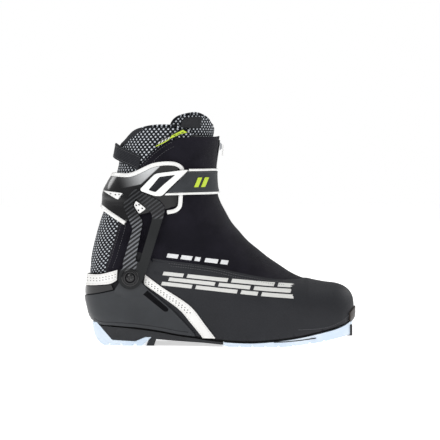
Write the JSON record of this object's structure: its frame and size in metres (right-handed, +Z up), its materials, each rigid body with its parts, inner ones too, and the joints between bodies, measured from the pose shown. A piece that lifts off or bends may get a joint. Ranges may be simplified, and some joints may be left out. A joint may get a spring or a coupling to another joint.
{
  "type": "cross country ski boot",
  "caption": "Cross country skate ski boot with a hinged cuff, strap with a finger loop, zipped lace cover and a toe bar.",
  "frame": {"origin": "middle of the footprint, on the ground under the sole", "axes": "+X to the toe, +Y to the inner side of the foot (this is a right boot), +Z up"},
  "size_m": [0.2989, 0.1021, 0.2528],
  "materials": {
    "icy_rubber": "pale, satin, slightly translucent moulded rubber",
    "black_rubber": "matt black rubber",
    "brown_rubber": "dark brown rubber, satin",
    "chassis": "black moulded nylon",
    "heel_plastic": "dark grey satin moulding",
    "gloss_black": "glossy black moulding",
    "carbon": "clear-coated black composite with a twill weave",
    "white_trim": "satin white moulding and synthetic leather",
    "vamp_leather": "fine-grained black synthetic leather",
    "softshell": "matt black stretch softshell",
    "mesh": "dark mesh with a raised light grey dot pattern",
    "liner": "dark brushed lining over foam",
    "webbing": "dark slate woven strap",
    "steel": "brushed steel",
    "lime": "lime yellow print on soft plastic",
    "board": "pressed fibre board",
    "lace": "braided round lace",
    "zipper": "black coil zip on woven tape"
  },
  "bodies": {
    "root": {"forefoot_outsole": "icy_rubber", "heel_outsole": "icy_rubber", "sole_chassis": "chassis", "toe_bar": "steel", "toe_bar_housing": "black_rubber", "toe_bumper": "brown_rubber", "insole_board": "board", "footbed": "liner", "heel_cup": "heel_plastic", "heel_gloss_band": "gloss_black", "heel_band": "white_trim", "heel_counter": "board", "vamp": "vamp_leather", "side_stripe_lateral": "white_trim", "side_stripe_medial": "white_trim", "toe_puff": "board", "inner_boot": "liner", "gaiter_instep": "softshell", "tongue_instep": "liner", "laces": "lace", "lace_guide_lateral": "webbing", "lace_guide_medial": "webbing", "cord_lock": "black_rubber", "pivot_screw_lateral": "steel", "pivot_screw_medial": "steel", "pivot_cap_lateral": "gloss_black", "pivot_cap_medial": "gloss_black", "pivot_washer_lateral": "steel", "pivot_washer_medial": "steel", "achilles_mesh": "mesh", "ankle_flex_panel": "softshell", "achilles_flex_panel": "mesh"},
    "cuff": {"cuff_shell": "gloss_black", "cuff_arm_lateral": "carbon", "cuff_arm_medial": "carbon", "cuff_rim_trim": "white_trim", "cuff_lower_trim": "white_trim", "vent_plate_lateral": "white_trim", "vent_plate_medial": "white_trim", "back_vent_lateral": "white_trim", "back_vent_medial": "white_trim", "collar_liner": "liner", "collar_mesh": "mesh", "shaft_gaiter": "softshell", "tongue_top": "mesh", "pull_loop": "webbing", "collar_tab": "lime", "hook_patch": "black_rubber", "strap_anchor": "gloss_black", "zipper_track": "zipper"},
    "strap": {"strap": "webbing", "strap_trim_upper": "white_trim", "strap_trim_lower": "white_trim", "strap_pull_frame": "white_trim", "strap_emblem": "lime"},
    "zip_slider": {"zip_slider": "steel"},
    "zip_pull": {"zip_pull": "white_trim"}
  },
  "joints": [
    {"name": "cuff_hinge", "type": "hinge", "parent": "root", "child": "cuff", "pos_m": [-0.0968, 0, 0.075], "axis": [0, 1, 0], "range_deg": [-8, 18], "stiffness_Nm_per_rad": 4, "deforming": ["ankle_flex_panel", "achilles_flex_panel"]},
    {"name": "strap_swing", "type": "hinge", "parent": "cuff", "child": "strap", "pos_m": [-0.036, 0.048, 0.178], "axis": [0, 0, 1], "range_deg": [0, 100]},
    {"name": "zip_slide", "type": "slide", "parent": "cuff", "child": "zip_slider", "axis": [-0.133, 0, -0.9911], "range_m": [0, 0.012]},
    {"name": "zip_pull_swing", "type": "hinge", "parent": "zip_slider", "child": "zip_pull", "pos_m": [0.00315, 0, 0.2181], "axis": [0, -1, 0], "range_deg": [0, 120]}
  ]
}
